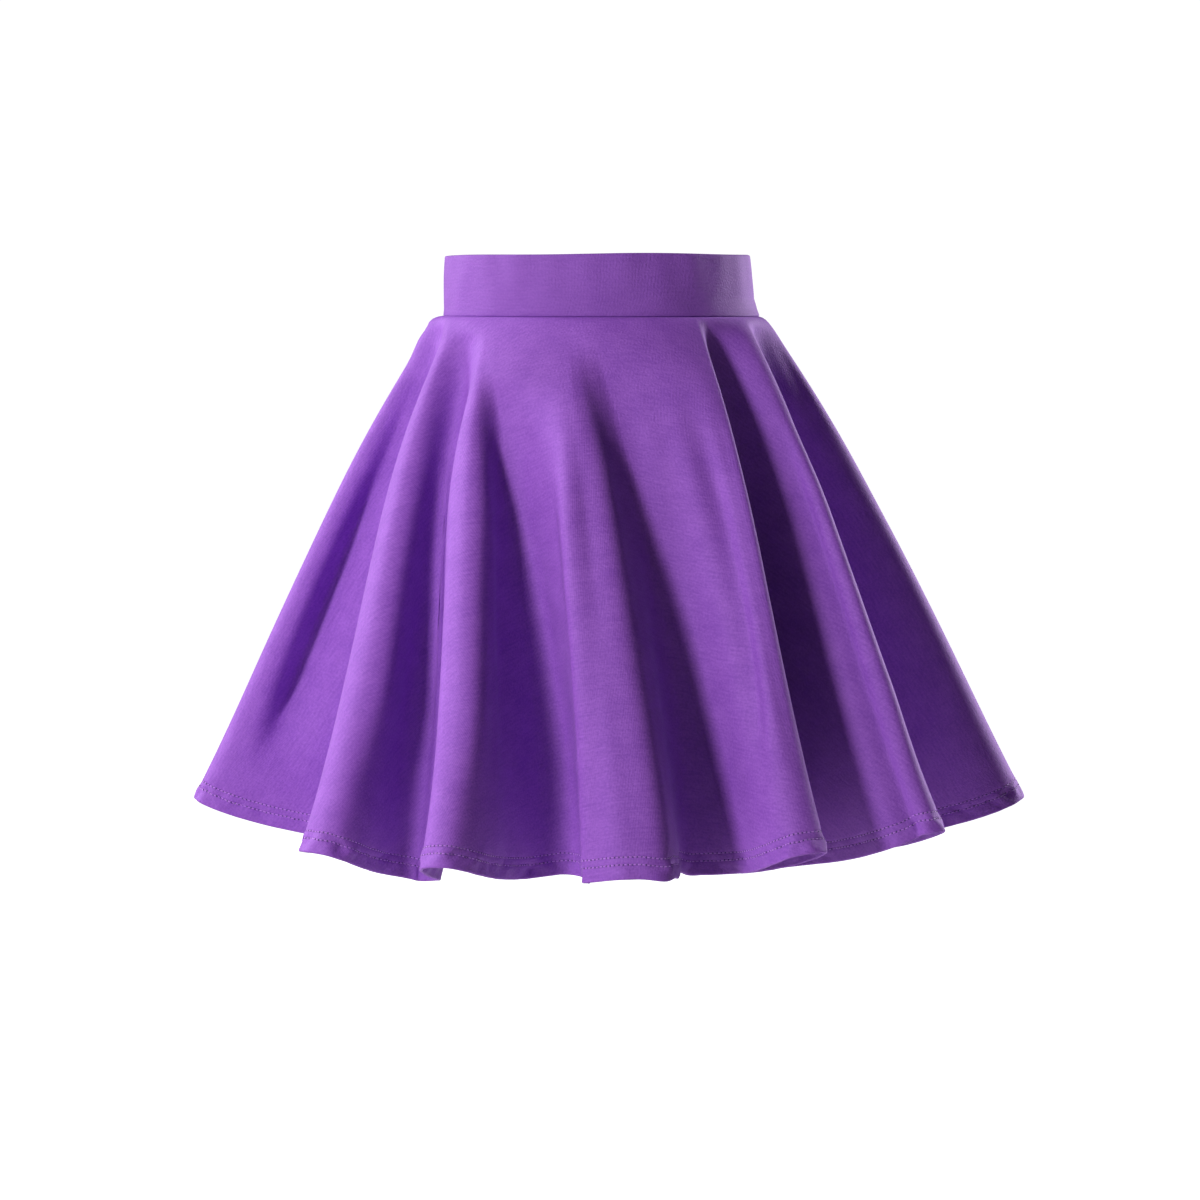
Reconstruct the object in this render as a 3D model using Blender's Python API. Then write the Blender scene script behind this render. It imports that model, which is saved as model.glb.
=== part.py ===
"""A jersey circle skirt, hollow and hanging from its waistband, in metres with +Z up.

The origin is the middle of the waistband at its mid-height. The front faces -Y and +X is to the right
of someone looking at the front. The skirt is a full circle of cloth: every line down the cloth is as
long as the cut, and what the hem has more than its outline goes into the flutes.
"""

from collections import namedtuple

import bpy
import numpy as np

# Waistband
BAND_HEIGHT = 0.047
BAND_WALL = 0.0024          # cloth folded double
BAND_COLUMNS = 20           # in each half
BandRing = namedtuple("BandRing", "height_share half_width half_depth centre_x")
BAND_RINGS = (
    BandRing(0.00, 0.1218, 0.0845, 0.0010),
    BandRing(0.25, 0.1200, 0.0838, 0.0002),
    BandRing(0.60, 0.1194, 0.0832, -0.0006),
    BandRing(1.00, 0.1188, 0.0828, -0.0012),
)

# Skirt
SKIRT_LENGTH = 0.434        # of cloth, from the waist seam to the hem
WAIST_HALF_WIDTH = 0.1215
WAIST_HALF_DEPTH = 0.0845
WAIST_CENTRE_X = 0.0005
HEM_HALF_WIDTH = 0.3270     # over the flutes
HEM_HALF_DEPTH = 0.2700
HEM_CENTRE_X = 0.0062
FLARE_BULGE = 0.30          # how much sooner than a cone the skirt spreads
SEAM_PUFF = 0.02            # how much further it springs out right under the waist seam
PUFF_RISE = 0.015           # share of the length over which the puff sets in
PUFF_FALL = 0.08            # and over which it fades
SKIRT_WALL = 0.0014

# Hem turn-up, on the inside
HEM_TURN = 0.016
HEM_WALL = 0.0011

GAP = 0.0003                # between pieces at a seam
WAIST_CUT_RADIUS = 0.1035   # of the circle cut out of the cloth

# Flutes, a row for each ridge and valley, from the left outline over the front and round the back.
# Angles are in degrees from the front, + to the right. Depth is how far a valley lies inside the
# outline at the hem, and reach is the half-width of the rounding to the left and right of the row,
# both in millimetres at the hem. Onset is the share of the length above which the fold isn't there,
# settle is how soon it takes its hem angle, and length is the cloth's share of SKIRT_LENGTH there.
Fold = namedtuple("Fold", "name seam_angle hem_angle depth onset settle left_reach right_reach length")
FOLDS = (
    Fold("ridge_1", -88, -83, 2, 0.00, 2.0, 40, 36, 0.976),
    Fold("valley_1", -76, -64, 108, 0.00, 2.0, 44, 50, 0.954),
    Fold("ridge_2", -61, -41, 0, 0.00, 1.7, 46, 46, 0.992),
    Fold("valley_2", -51, -32, 92, 0.02, 1.7, 46, 40, 0.988),
    Fold("ridge_3", -40, -21.6, 0, 0.02, 1.7, 42, 34, 0.992),
    Fold("valley_3", -38.5, -8.5, 104, 0.12, 1.9, 40, 38, 0.987),
    Fold("ridge_4", -12, 2.5, 0, 0.10, 1.7, 50, 60, 1.003),
    Fold("valley_4", -5, 15, 80, 0.06, 3.0, 36, 50, 0.988),
    Fold("ridge_5", 34, 27, 0, 0.03, 1.7, 50, 40, 0.974),
    Fold("valley_5", 40, 33, 115, 0.00, 1.7, 92, 52, 0.968),
    Fold("ridge_6", 58, 47.2, 0, 0.00, 2.0, 50, 40, 0.975),
    Fold("valley_6", 68, 65, 105, 0.00, 2.0, 50, 44, 0.964),
    Fold("ridge_7", 85, 84, 0, 0.00, 2.0, 46, 46, 0.990),
    Fold("valley_7", 99, 99, 84, 0.04, 2.0, 46, 46, 0.980),
    Fold("ridge_8", 112, 112, 0, 0.04, 2.0, 46, 46, 0.990),
    Fold("valley_8", 126, 125, 96, 0.06, 2.0, 50, 46, 0.975),
    Fold("ridge_9", 139, 138, 0, 0.08, 2.0, 46, 52, 0.990),
    Fold("valley_9", 152, 151, 90, 0.10, 2.0, 46, 46, 0.975),
    Fold("ridge_10", 166, 165, 0, 0.10, 2.0, 50, 46, 0.995),
    Fold("valley_10", 179, 178, 100, 0.10, 2.0, 48, 48, 0.975),
    Fold("ridge_11", 192, 192, 0, 0.09, 2.0, 46, 48, 0.995),
    Fold("valley_11", 205, 205, 88, 0.07, 2.0, 46, 46, 0.975),
    Fold("ridge_12", 218, 218, 0, 0.06, 2.0, 48, 46, 0.990),
    Fold("valley_12", 231, 231, 104, 0.04, 2.0, 46, 46, 0.970),
    Fold("ridge_13", 244, 244, 0, 0.06, 2.0, 48, 46, 0.990),
    Fold("valley_13", 255, 255, 90, 0.04, 2.0, 46, 46, 0.970),
)
DEPTH_POWER = 0.8           # under 1, so a flute opens faster near its top
SOFT_START = 0.04           # share of the length over which a flute sets in
FLUTE_FORMS = 0.20          # share of the length over which it takes its round form
LEAST_DROP = 0.35           # of the cloth's length, however far a step of it goes sideways

COLUMNS_PER_WALL = 8        # between a ridge and the next valley, an even number
ROUND_CROWDING = 0.3        # how much closer together the columns are at ridges and valleys
ARC_STEPS = 8               # for the length of outline between a ridge and a valley
ROWS = (0.0, 0.05, 0.11, 0.20, 0.33, 0.52, 0.74, 1.0 - HEM_TURN / SKIRT_LENGTH, 1.0)
STEPS_PER_ROW = 6           # for the sum down the cloth
LAST_SIDE_WALL = 12         # the wall behind ridge_7, where the right side seam lies

PURPLE = (0.205, 0.067, 0.390, 1.0)


def ease(x):
    """0 to 1, level at both ends."""
    x = min(1.0, max(0.0, x))
    return x * x * (3.0 - 2.0 * x)


def outline(share):
    """(centre x, half width, half depth) of the skirt's outline, this share of its length down."""
    puff = SEAM_PUFF * (1.0 - np.exp(-share / PUFF_RISE)) * np.exp(-share / PUFF_FALL)
    spread = share + FLARE_BULGE * share * (1.0 - share) ** 2 + puff
    return (
        WAIST_CENTRE_X + (HEM_CENTRE_X - WAIST_CENTRE_X) * share,
        WAIST_HALF_WIDTH + (HEM_HALF_WIDTH - WAIST_HALF_WIDTH) * spread,
        WAIST_HALF_DEPTH + (HEM_HALF_DEPTH - WAIST_HALF_DEPTH) * spread,
    )


def on_outline(share, angle):
    centre_x, half_width, half_depth = outline(share)
    return np.array([centre_x + half_width * np.sin(angle), -half_depth * np.cos(angle)])


def along_outline(share, angle):
    """Unit direction along the outline, to the right at the front."""
    _, half_width, half_depth = outline(share)
    direction = np.array([half_width * np.cos(angle), half_depth * np.sin(angle)])
    return direction / np.hypot(*direction)


def fold_at(fold, share):
    """A fold's angle, its point in plan and the direction of the cloth there."""
    angle = np.radians(fold.hem_angle + (fold.seam_angle - fold.hem_angle) * (1.0 - share) ** fold.settle)
    grown = max(0.0, (share - fold.onset) / (1.0 - fold.onset))
    depth = fold.depth / 1000 * grown ** DEPTH_POWER * ease(grown / SOFT_START)
    along = along_outline(share, angle)
    inward = np.array([-along[1], along[0]])
    return angle, on_outline(share, angle) + inward * depth, along


def column_shares():
    """Where the columns lie between a ridge and a valley, closer together at the roundings."""
    even = np.arange(COLUMNS_PER_WALL) / COLUMNS_PER_WALL
    crowded = 0.5 - 0.5 * np.cos(np.pi * even)
    return even + ROUND_CROWDING * (crowded - even)


def ring(share):
    """Plan points of the cloth all round, this share of its length down, from ridge_1 rightwards."""
    held = [fold_at(fold, share) for fold in FOLDS]
    size = (WAIST_CUT_RADIUS + SKIRT_LENGTH * share) / (WAIST_CUT_RADIUS + SKIRT_LENGTH)
    points = []
    for i, fold in enumerate(FOLDS):
        following = FOLDS[(i + 1) % len(FOLDS)]
        angle, start, start_along = held[i]
        next_angle, end, end_along = held[(i + 1) % len(FOLDS)]
        if next_angle < angle:
            next_angle += 2.0 * np.pi
        between = [on_outline(share, a) for a in np.linspace(angle, next_angle, ARC_STEPS + 1)]
        third = sum(np.hypot(*(b - a)) for a, b in zip(between, between[1:])) / 3.0
        formed = ease((share - max(fold.onset, following.onset)) / FLUTE_FORMS)
        leaving = third * (1.0 - formed) + fold.right_reach / 1000 * size * formed
        arriving = third * (1.0 - formed) + following.left_reach / 1000 * size * formed
        handles = (start, start + start_along * leaving, end - end_along * arriving, end)
        for u in column_shares():
            weights = ((1 - u) ** 3, 3 * u * (1 - u) ** 2, 3 * u * u * (1 - u), u**3)
            points.append(sum(weight * handle for weight, handle in zip(weights, handles)))
    return np.array(points)


def cloth_lengths():
    """The cloth's share of SKIRT_LENGTH at each column."""
    shares = []
    for i, fold in enumerate(FOLDS):
        following = FOLDS[(i + 1) % len(FOLDS)]
        shares += [fold.length + (following.length - fold.length) * ease(u) for u in column_shares()]
    return np.array(shares)


def skirt_grid():
    """Points of the cloth's middle surface as [row, column, xyz]. Each column is as long as the cloth."""
    slope_room = 0.5 * SKIRT_WALL  # the outer edge of a sloping wall stands higher than its middle
    top = -0.5 * BAND_HEIGHT - GAP - slope_room
    plan = ring(ROWS[0])
    heights = np.full(len(plan), top)
    rows = [np.column_stack([plan, heights])]
    lengths = cloth_lengths()
    for upper, lower in zip(ROWS, ROWS[1:]):
        for share in np.linspace(upper, lower, STEPS_PER_ROW + 1)[1:]:
            next_plan = ring(share)
            down_cloth = SKIRT_LENGTH * lengths * (lower - upper) / STEPS_PER_ROW
            sideways = np.linalg.norm(next_plan - plan, axis=1)
            least = LEAST_DROP * down_cloth
            heights = heights - np.sqrt(np.maximum(down_cloth**2 - sideways**2, least**2))
            plan = next_plan
        rows.append(np.column_stack([plan, heights]))
    return np.array(rows)


def normals_of(grid):
    """Unit normals of a closed grid, pointing out of the skirt."""
    across = np.roll(grid, -1, axis=1) - np.roll(grid, 1, axis=1)
    down = np.gradient(grid, axis=0)
    normals = np.cross(down, across)
    return normals / np.linalg.norm(normals, axis=2, keepdims=True)


def columns_of(grid, first, last):
    """Columns first to last of a closed grid, counted on past its end."""
    return grid[:, np.arange(first, last + 1) % grid.shape[1]]


def band_grid():
    """Points of the waistband's middle surface all round as [row, column, xyz], from its left side."""
    angles = np.linspace(-0.5, 1.5, 2 * BAND_COLUMNS, endpoint=False) * np.pi
    rows = []
    for band_ring in reversed(BAND_RINGS):
        x = band_ring.centre_x + band_ring.half_width * np.sin(angles)
        y = -band_ring.half_depth * np.cos(angles)
        z = np.full_like(x, BAND_HEIGHT * (band_ring.height_share - 0.5))
        rows.append(np.column_stack([x, y, z]))
    return np.array(rows)


def cloth_material(name):
    material = bpy.data.materials.new(name)
    material.use_nodes = True
    shader = material.node_tree.nodes["Principled BSDF"]
    shader.inputs["Base Color"].default_value = PURPLE
    shader.inputs["Roughness"].default_value = 0.85
    shader.inputs["Metallic"].default_value = 0.0
    material.diffuse_color = PURPLE
    return material


def rim(outer, inner, way):
    """Triangles between an outer and an inner line of points. Both sides of a seam share their diagonals."""
    first = np.stack([outer[:-1], inner[:-1], inner[1:]], axis=-1)
    second = np.stack([outer[:-1], inner[1:], outer[1:]], axis=-1)
    return np.concatenate([first, second])[:, ::way].tolist()


def add_cloth(collection, name, grid, first, last, outside, inside):
    """A piece of cloth between columns first and last of a closed grid whose rows run down.

    Its faces lie this far outside and inside the grid, and it stops half a gap short of both columns.
    """
    middle = columns_of(grid, first, last).copy()
    normals = columns_of(normals_of(grid), first, last)
    for end, inner in ((0, 1), (-1, -2)):
        step = middle[:, inner] - middle[:, end]
        middle[:, end] += 0.5 * GAP * step / np.linalg.norm(step, axis=1, keepdims=True)
    skins = np.stack([middle + outside * normals, middle - inside * normals])

    index = np.arange(skins[..., 0].size).reshape(skins.shape[:3])
    outer, inner = index
    faces = rim(outer[:, 0], inner[:, 0], 1) + rim(outer[-1], inner[-1], 1)
    faces += rim(outer[:, -1], inner[:, -1], -1) + rim(outer[0], inner[0], -1)
    for skin, way in ((outer, 1), (inner, -1)):
        corners = (skin[:-1, :-1], skin[1:, :-1], skin[1:, 1:], skin[:-1, 1:])
        faces += np.stack(corners[::way], axis=-1).reshape(-1, 4).tolist()

    mesh = bpy.data.meshes.new(name)
    mesh.from_pydata(skins.reshape(-1, 3).tolist(), [], faces)
    mesh.shade_smooth()
    mesh.materials.append(cloth_material(name))
    collection.objects.link(bpy.data.objects.new(name, mesh))


def main():
    for leftover in list(bpy.data.objects):
        bpy.data.objects.remove(leftover, do_unlink=True)
    collection = bpy.data.collections.new("circle_skirt")
    bpy.context.scene.collection.children.link(collection)

    band = band_grid()
    skirt = skirt_grid()
    half_wall = 0.5 * SKIRT_WALL
    left = -COLUMNS_PER_WALL // 2
    right = LAST_SIDE_WALL * COLUMNS_PER_WALL + COLUMNS_PER_WALL // 2
    halves = (
        ("front", (0, BAND_COLUMNS), (left, right)),
        ("back", (BAND_COLUMNS, 2 * BAND_COLUMNS), (right, left + skirt.shape[1])),
    )
    for half, band_span, skirt_span in halves:
        add_cloth(collection, "waistband_" + half, band, *band_span, 0.5 * BAND_WALL, 0.5 * BAND_WALL)
        add_cloth(collection, "skirt_" + half, skirt, *skirt_span, half_wall, half_wall)
        turned = half_wall + GAP
        add_cloth(collection, "hem_" + half, skirt[-2:], *skirt_span, -turned, turned + HEM_WALL)


main()
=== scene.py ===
import bpy
import numpy as np
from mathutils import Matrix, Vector


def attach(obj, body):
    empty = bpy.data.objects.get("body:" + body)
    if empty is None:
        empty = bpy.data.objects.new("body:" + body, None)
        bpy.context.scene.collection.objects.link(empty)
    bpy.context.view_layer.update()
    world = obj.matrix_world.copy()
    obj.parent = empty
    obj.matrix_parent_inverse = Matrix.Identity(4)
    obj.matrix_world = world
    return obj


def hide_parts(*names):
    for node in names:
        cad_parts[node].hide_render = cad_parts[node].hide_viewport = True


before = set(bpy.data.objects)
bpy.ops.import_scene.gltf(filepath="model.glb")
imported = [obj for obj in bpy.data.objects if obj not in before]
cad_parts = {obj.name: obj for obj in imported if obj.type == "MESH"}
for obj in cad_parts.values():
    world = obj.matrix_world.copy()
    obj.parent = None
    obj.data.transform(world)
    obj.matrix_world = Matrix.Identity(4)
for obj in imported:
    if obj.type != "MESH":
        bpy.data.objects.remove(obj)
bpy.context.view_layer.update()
print("frame loaded:", ", ".join(sorted(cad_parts)))


def ease(x):
    x = np.clip(x, 0.0, 1.0)
    return x * x * (3.0 - 2.0 * x)


def unit(vectors):
    return vectors / np.maximum(np.linalg.norm(vectors, axis=-1, keepdims=True), 1e-12)


def normalsOf(grid):
    # pointing out of the skirt, for a grid all round it: rows run down, columns rightwards at the front
    across = np.roll(grid, -1, axis=1) - np.roll(grid, 1, axis=1)
    return unit(np.cross(np.gradient(grid, axis=0), across))


def columnsOf(grid, first, last):
    return grid[:, np.arange(first, last + 1) % grid.shape[1]]


def addMesh(name, points, faces, material, uv, sharp):
    mesh = bpy.data.meshes.new(name)
    mesh.from_pydata(points.tolist(), [], faces)
    mesh.shade_smooth()
    mesh.set_sharp_from_angle(angle=np.radians(sharp))
    layer = mesh.uv_layers.new(name="clothCut")
    corner = np.zeros(len(mesh.loops), np.int32)
    mesh.loops.foreach_get("vertex_index", corner)
    layer.data.foreach_set("uv", uv[corner].astype(np.float32).ravel())
    mesh.materials.append(material)
    piece = bpy.data.objects.new(name, mesh)
    bpy.context.scene.collection.objects.link(piece)
    return piece


def addCloth(name, outer, inner, cutPlace, material, sharp=50):
    # a closed shell between an outer and an inner grid of the same size
    rows, columns = outer.shape[:2]
    index = np.arange(2 * rows * columns).reshape(2, rows, columns)
    faces = []
    for skin, way in ((index[0], 1), (index[1], -1)):
        corners = (skin[:-1, :-1], skin[1:, :-1], skin[1:, 1:], skin[:-1, 1:])
        faces += np.stack(corners[::way], axis=-1).reshape(-1, 4).tolist()
    o, i = index
    for a, b, way in ((o[:, 0], i[:, 0], 1), (o[-1], i[-1], 1), (o[:, -1], i[:, -1], -1), (o[0], i[0], -1)):
        faces += np.stack([a[:-1], b[:-1], b[1:], a[1:]], axis=-1)[:, ::way].tolist()
    points = np.concatenate([outer.reshape(-1, 3), inner.reshape(-1, 3)])
    uv = np.concatenate([cutPlace.reshape(-1, 2)] * 2)
    return addMesh(name, points, faces, material, uv, sharp)


cloth = {
    "light": (0.277, 0.085, 0.512),
    "dark": (0.197, 0.048, 0.410),
    "sheenTint": (0.75, 0.50, 1.0),
    "sheen": 0.13,
    "sheenRough": 0.35,
    "rough": (0.68, 0.82),
    "shine": 0.50,
    "waleWidth": 0.0011,      # of the knit, metres
    "courseHeight": 0.0009,
    "courseLean": 1.6,        # how far the loops of a course lean on the wales
    "waleShare": 0.65,
    "courseShare": 0.18,
    "toneShares": (0.55, 0.30, 0.35, 0.10),   # speckle, cloud, streak, knit
    "middleTone": 0.65,
    "fuzzScale": 620.0,
    "speckleScale": 560.0,
    "cloudScale": 46.0,
    "streakStretch": (70.0, 620.0, 1.0),
    "knitBump": (0.5, 0.00025),               # strength, height in metres
    "fuzzBump": (0.75, 0.0005),
}


def link(tree, a, b):
    tree.links.new(a, b)


def mathNode(tree, operation, a, b=None):
    node = tree.nodes.new("ShaderNodeMath")
    node.operation = operation
    for socket, value in zip(node.inputs, (a, b)):
        if value is None:
            continue
        if isinstance(value, (int, float)):
            socket.default_value = value
        else:
            link(tree, value, socket)
    return node.outputs[0]


def weighedSum(tree, signals, weights):
    total = None
    for signal, weight in zip(signals, weights):
        part = mathNode(tree, "MULTIPLY", signal, weight)
        total = part if total is None else mathNode(tree, "ADD", total, part)
    return total


def noiseNode(tree, place, scale, detail, stretch=(1.0, 1.0, 1.0)):
    spread = tree.nodes.new("ShaderNodeVectorMath")
    spread.operation = "MULTIPLY"
    spread.inputs[1].default_value = stretch
    link(tree, place, spread.inputs[0])
    noise = tree.nodes.new("ShaderNodeTexNoise")
    noise.inputs["Scale"].default_value = scale
    noise.inputs["Detail"].default_value = detail
    link(tree, spread.outputs[0], noise.inputs["Vector"])
    return noise.outputs["Fac"]


def jerseyMaterial(name, mottling, paintedShading=1.0):
    material = bpy.data.materials.new(name)
    material.use_nodes = True
    tree = material.node_tree
    shader = tree.nodes["Principled BSDF"]
    place = tree.nodes.new("ShaderNodeUVMap")
    place.uv_map = "clothCut"
    uv = place.outputs["UV"]
    apart = tree.nodes.new("ShaderNodeSeparateXYZ")
    link(tree, uv, apart.inputs[0])

    # the knit: wales running down the cut, each course a row of small loops
    wale = mathNode(tree, "SINE", mathNode(tree, "MULTIPLY", apart.outputs[0], np.pi / cloth["waleWidth"]))
    wale = mathNode(tree, "ABSOLUTE", wale)
    lean = mathNode(tree, "MULTIPLY", wale, cloth["courseLean"])
    course = mathNode(tree, "MULTIPLY", apart.outputs[1], 2 * np.pi / cloth["courseHeight"])
    course = mathNode(tree, "SINE", mathNode(tree, "ADD", course, lean))
    knit = weighedSum(tree, (wale, course), (cloth["waleShare"], cloth["courseShare"]))

    fuzz = noiseNode(tree, uv, cloth["fuzzScale"], 3.0)
    speckle = noiseNode(tree, uv, cloth["speckleScale"], 2.0)
    cloud = noiseNode(tree, uv, cloth["cloudScale"], 3.0)
    streak = noiseNode(tree, uv, 1.0, 2.0, cloth["streakStretch"])
    tone = weighedSum(tree, (speckle, cloud, streak, knit), cloth["toneShares"])
    spread = tree.nodes.new("ShaderNodeMapRange")
    spread.inputs["From Min"].default_value = cloth["middleTone"] - mottling
    spread.inputs["From Max"].default_value = cloth["middleTone"] + mottling
    link(tree, tone, spread.inputs["Value"])
    colour = tree.nodes.new("ShaderNodeMix")
    colour.data_type = "RGBA"
    link(tree, spread.outputs[0], colour.inputs["Factor"])
    # the colour is scaled by paintedShading; a value under 1 makes a darker copy of the same cloth, painted
    # shade
    colour.inputs["A"].default_value = (*[paintedShading * c for c in cloth["dark"]], 1.0)
    colour.inputs["B"].default_value = (*[paintedShading * c for c in cloth["light"]], 1.0)
    link(tree, colour.outputs["Result"], shader.inputs["Base Color"])

    rough = tree.nodes.new("ShaderNodeMapRange")
    rough.inputs["To Min"].default_value = cloth["rough"][0]
    rough.inputs["To Max"].default_value = cloth["rough"][1]
    link(tree, speckle, rough.inputs["Value"])
    link(tree, rough.outputs[0], shader.inputs["Roughness"])
    shader.inputs["Specular IOR Level"].default_value = cloth["shine"]
    shader.inputs["Sheen Weight"].default_value = cloth["sheen"]
    shader.inputs["Sheen Roughness"].default_value = cloth["sheenRough"]
    shader.inputs["Sheen Tint"].default_value = (*cloth["sheenTint"], 1.0)

    normal = None
    for signal, (strength, height) in ((knit, cloth["knitBump"]), (fuzz, cloth["fuzzBump"])):
        bump = tree.nodes.new("ShaderNodeBump")
        bump.inputs["Strength"].default_value = strength
        bump.inputs["Distance"].default_value = height
        link(tree, signal, bump.inputs["Height"])
        if normal is not None:
            link(tree, normal, bump.inputs["Normal"])
        normal = bump.outputs[0]
    link(tree, normal, shader.inputs["Normal"])
    return material


thread = {
    "colour": (0.44, 0.17, 0.68),
    # the needle holes' dark colour is painted shade
    "holeShadeColour": (0.105, 0.022, 0.270),
    "rough": 0.6,
    "sheen": 0.1,
    "twistScale": 900.0,
    "paintedPlyShading": (0.75, 1.2),    # of its colour: painted shade between the plies and painted highlight on them
}


def threadMaterial(name, colour):
    material = bpy.data.materials.new(name)
    material.use_nodes = True
    tree = material.node_tree
    shader = tree.nodes["Principled BSDF"]
    place = tree.nodes.new("ShaderNodeTexCoord")
    twist = tree.nodes.new("ShaderNodeTexNoise")
    twist.inputs["Scale"].default_value = thread["twistScale"]
    link(tree, place.outputs["Object"], twist.inputs["Vector"])
    # the noise mixes the thread colour into painted ply shade and painted ply highlight
    mix = tree.nodes.new("ShaderNodeMix")
    mix.data_type = "RGBA"
    link(tree, twist.outputs["Fac"], mix.inputs["Factor"])
    for socket, paintedShading in zip(("A", "B"), thread["paintedPlyShading"]):
        mix.inputs[socket].default_value = (*[paintedShading * c for c in colour], 1.0)
    link(tree, mix.outputs["Result"], shader.inputs["Base Color"])
    shader.inputs["Roughness"].default_value = thread["rough"]
    shader.inputs["Sheen Weight"].default_value = thread["sheen"]
    return material


jersey = jerseyMaterial("purpleJersey", mottling=0.14)
# the band: the same cloth, more mottled, and its colour darkened to 0.88 as painted shade
bandJerseyPaintedShade = jerseyMaterial("purpleBandJerseyPaintedShade", mottling=0.22, paintedShading=0.88)
sewingThread = threadMaterial("purpleThread", thread["colour"])
# dark cones at the needle holes: painted shade
paintedNeedleHoleShade = threadMaterial("paintedNeedleHoleShade", thread["holeShadeColour"])
print("materials made")


# the skirt's form: the same flutes as the solids, on a finer grid
skirt = {
    "length": 0.434,          # of cloth from the waist seam to the hem
    "waist": (0.0005, 0.1215, 0.0845),       # centre x, half width, half depth
    "hem": (0.0062, 0.3270, 0.2700),
    "flareBulge": 0.30,
    "seamPuff": 0.02,
    "puffRise": 0.015,
    "puffFall": 0.08,
    "waistCutRadius": 0.1035,
    "depthPower": 0.8,
    "softStart": 0.04,
    "fluteForms": 0.20,
    "leastDrop": 0.35,
    "top": -0.0241,           # height of the cloth's middle at the waist seam
    "stepDown": 0.0025,       # the hanging is worked out in steps no longer than this
    "columnsPerWall": 36,
    "bunching": 0.3,          # of the columns towards ridges and valleys
    "seamColumns": (0.004, 0.009, 0.016, 0.026),   # share of the wall between these and a side seam
    "seamClear": 0.034,
    "face": 0.0007,           # the outer face stands this far outside the middle
    "thickness": 0.0011,
    "leftSeamWall": 25,
    "rightSeamWall": 12,
    "seamGap": 0.0003,
    "seamRoll": 0.0007,       # how far both panels turn in at a side seam
    "seamRollWidth": 0.0013,
    "levelling": 0.25,        # share of a crease's move that may go up or down
    "topRoll": 0.0010,        # radius of the edge at the waist seam
    "leastRadius": 0.00004,
    "edgeStep": 0.0004,       # of the flat cut, between rows round the hem's fold
    "lastStep": 0.001,        # along a row, taken from its last column to its first
}

foldNames = (
    "name", "seamAngle", "hemAngle", "depth", "onset", "settle", "leftReach", "rightReach", "length",
)
foldRows = (
    ("ridge1", -88, -83, 2, 0.00, 2.0, 40, 36, 0.976),
    ("valley1", -76, -64, 108, 0.00, 2.0, 44, 50, 0.954),
    ("ridge2", -61, -41, 0, 0.00, 1.7, 46, 46, 0.992),
    ("valley2", -51, -32, 92, 0.02, 1.7, 46, 40, 0.988),
    ("ridge3", -40, -21.6, 0, 0.02, 1.7, 42, 34, 0.992),
    ("valley3", -38.5, -8.5, 104, 0.12, 1.9, 40, 38, 0.987),
    ("ridge4", -12, 2.5, 0, 0.10, 1.7, 50, 60, 1.003),
    ("valley4", -5, 15, 80, 0.06, 3.0, 36, 50, 0.988),
    ("ridge5", 34, 27, 0, 0.03, 1.7, 50, 40, 0.974),
    ("valley5", 40, 33, 115, 0.00, 1.7, 92, 52, 0.968),
    ("ridge6", 58, 47.2, 0, 0.00, 2.0, 50, 40, 0.975),
    ("valley6", 68, 65, 105, 0.00, 2.0, 50, 44, 0.964),
    ("ridge7", 85, 84, 0, 0.00, 2.0, 46, 46, 0.990),
    ("valley7", 99, 99, 84, 0.04, 2.0, 46, 46, 0.980),
    ("ridge8", 112, 112, 0, 0.04, 2.0, 46, 46, 0.990),
    ("valley8", 126, 125, 96, 0.06, 2.0, 50, 46, 0.975),
    ("ridge9", 139, 138, 0, 0.08, 2.0, 46, 52, 0.990),
    ("valley9", 152, 151, 90, 0.10, 2.0, 46, 46, 0.975),
    ("ridge10", 166, 165, 0, 0.10, 2.0, 50, 46, 0.995),
    ("valley10", 179, 178, 100, 0.10, 2.0, 48, 48, 0.975),
    ("ridge11", 192, 192, 0, 0.09, 2.0, 46, 48, 0.995),
    ("valley11", 205, 205, 88, 0.07, 2.0, 46, 46, 0.975),
    ("ridge12", 218, 218, 0, 0.06, 2.0, 48, 46, 0.990),
    ("valley12", 231, 231, 104, 0.04, 2.0, 46, 46, 0.970),
    ("ridge13", 244, 244, 0, 0.06, 2.0, 48, 46, 0.990),
    ("valley13", 255, 255, 90, 0.04, 2.0, 46, 46, 0.970),
)
folds = {key: np.array([row[i] for row in foldRows]) for i, key in enumerate(foldNames)}
foldCount = len(foldRows)


def outlineAt(share):
    # centre x, half width and half depth at this share of the length
    risen = 1.0 - np.exp(-share / skirt["puffRise"])
    puff = skirt["seamPuff"] * risen * np.exp(-share / skirt["puffFall"])
    spread = share + skirt["flareBulge"] * share * (1.0 - share) ** 2 + puff
    first, last = skirt["waist"], skirt["hem"]
    return tuple(a + (b - a) * way for a, b, way in zip(first, last, (share, spread, spread)))


def onOutline(share, angle):
    centreX, halfWidth, halfDepth = outlineAt(share)
    return np.stack([centreX + halfWidth * np.sin(angle), -halfDepth * np.cos(angle)], axis=-1)


def foldsAt(share):
    unsettled = (1.0 - share) ** folds["settle"]
    angle = np.radians(folds["hemAngle"] + (folds["seamAngle"] - folds["hemAngle"]) * unsettled)
    grown = np.maximum(0.0, (share - folds["onset"]) / (1.0 - folds["onset"]))
    depth = folds["depth"] / 1000 * grown ** skirt["depthPower"] * ease(grown / skirt["softStart"])
    _, halfWidth, halfDepth = outlineAt(share)
    along = unit(np.stack([halfWidth * np.cos(angle), halfDepth * np.sin(angle)], axis=-1))
    inward = np.stack([-along[:, 1], along[:, 0]], axis=-1)
    return angle, onOutline(share, angle) + inward * depth[:, None], along


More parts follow.
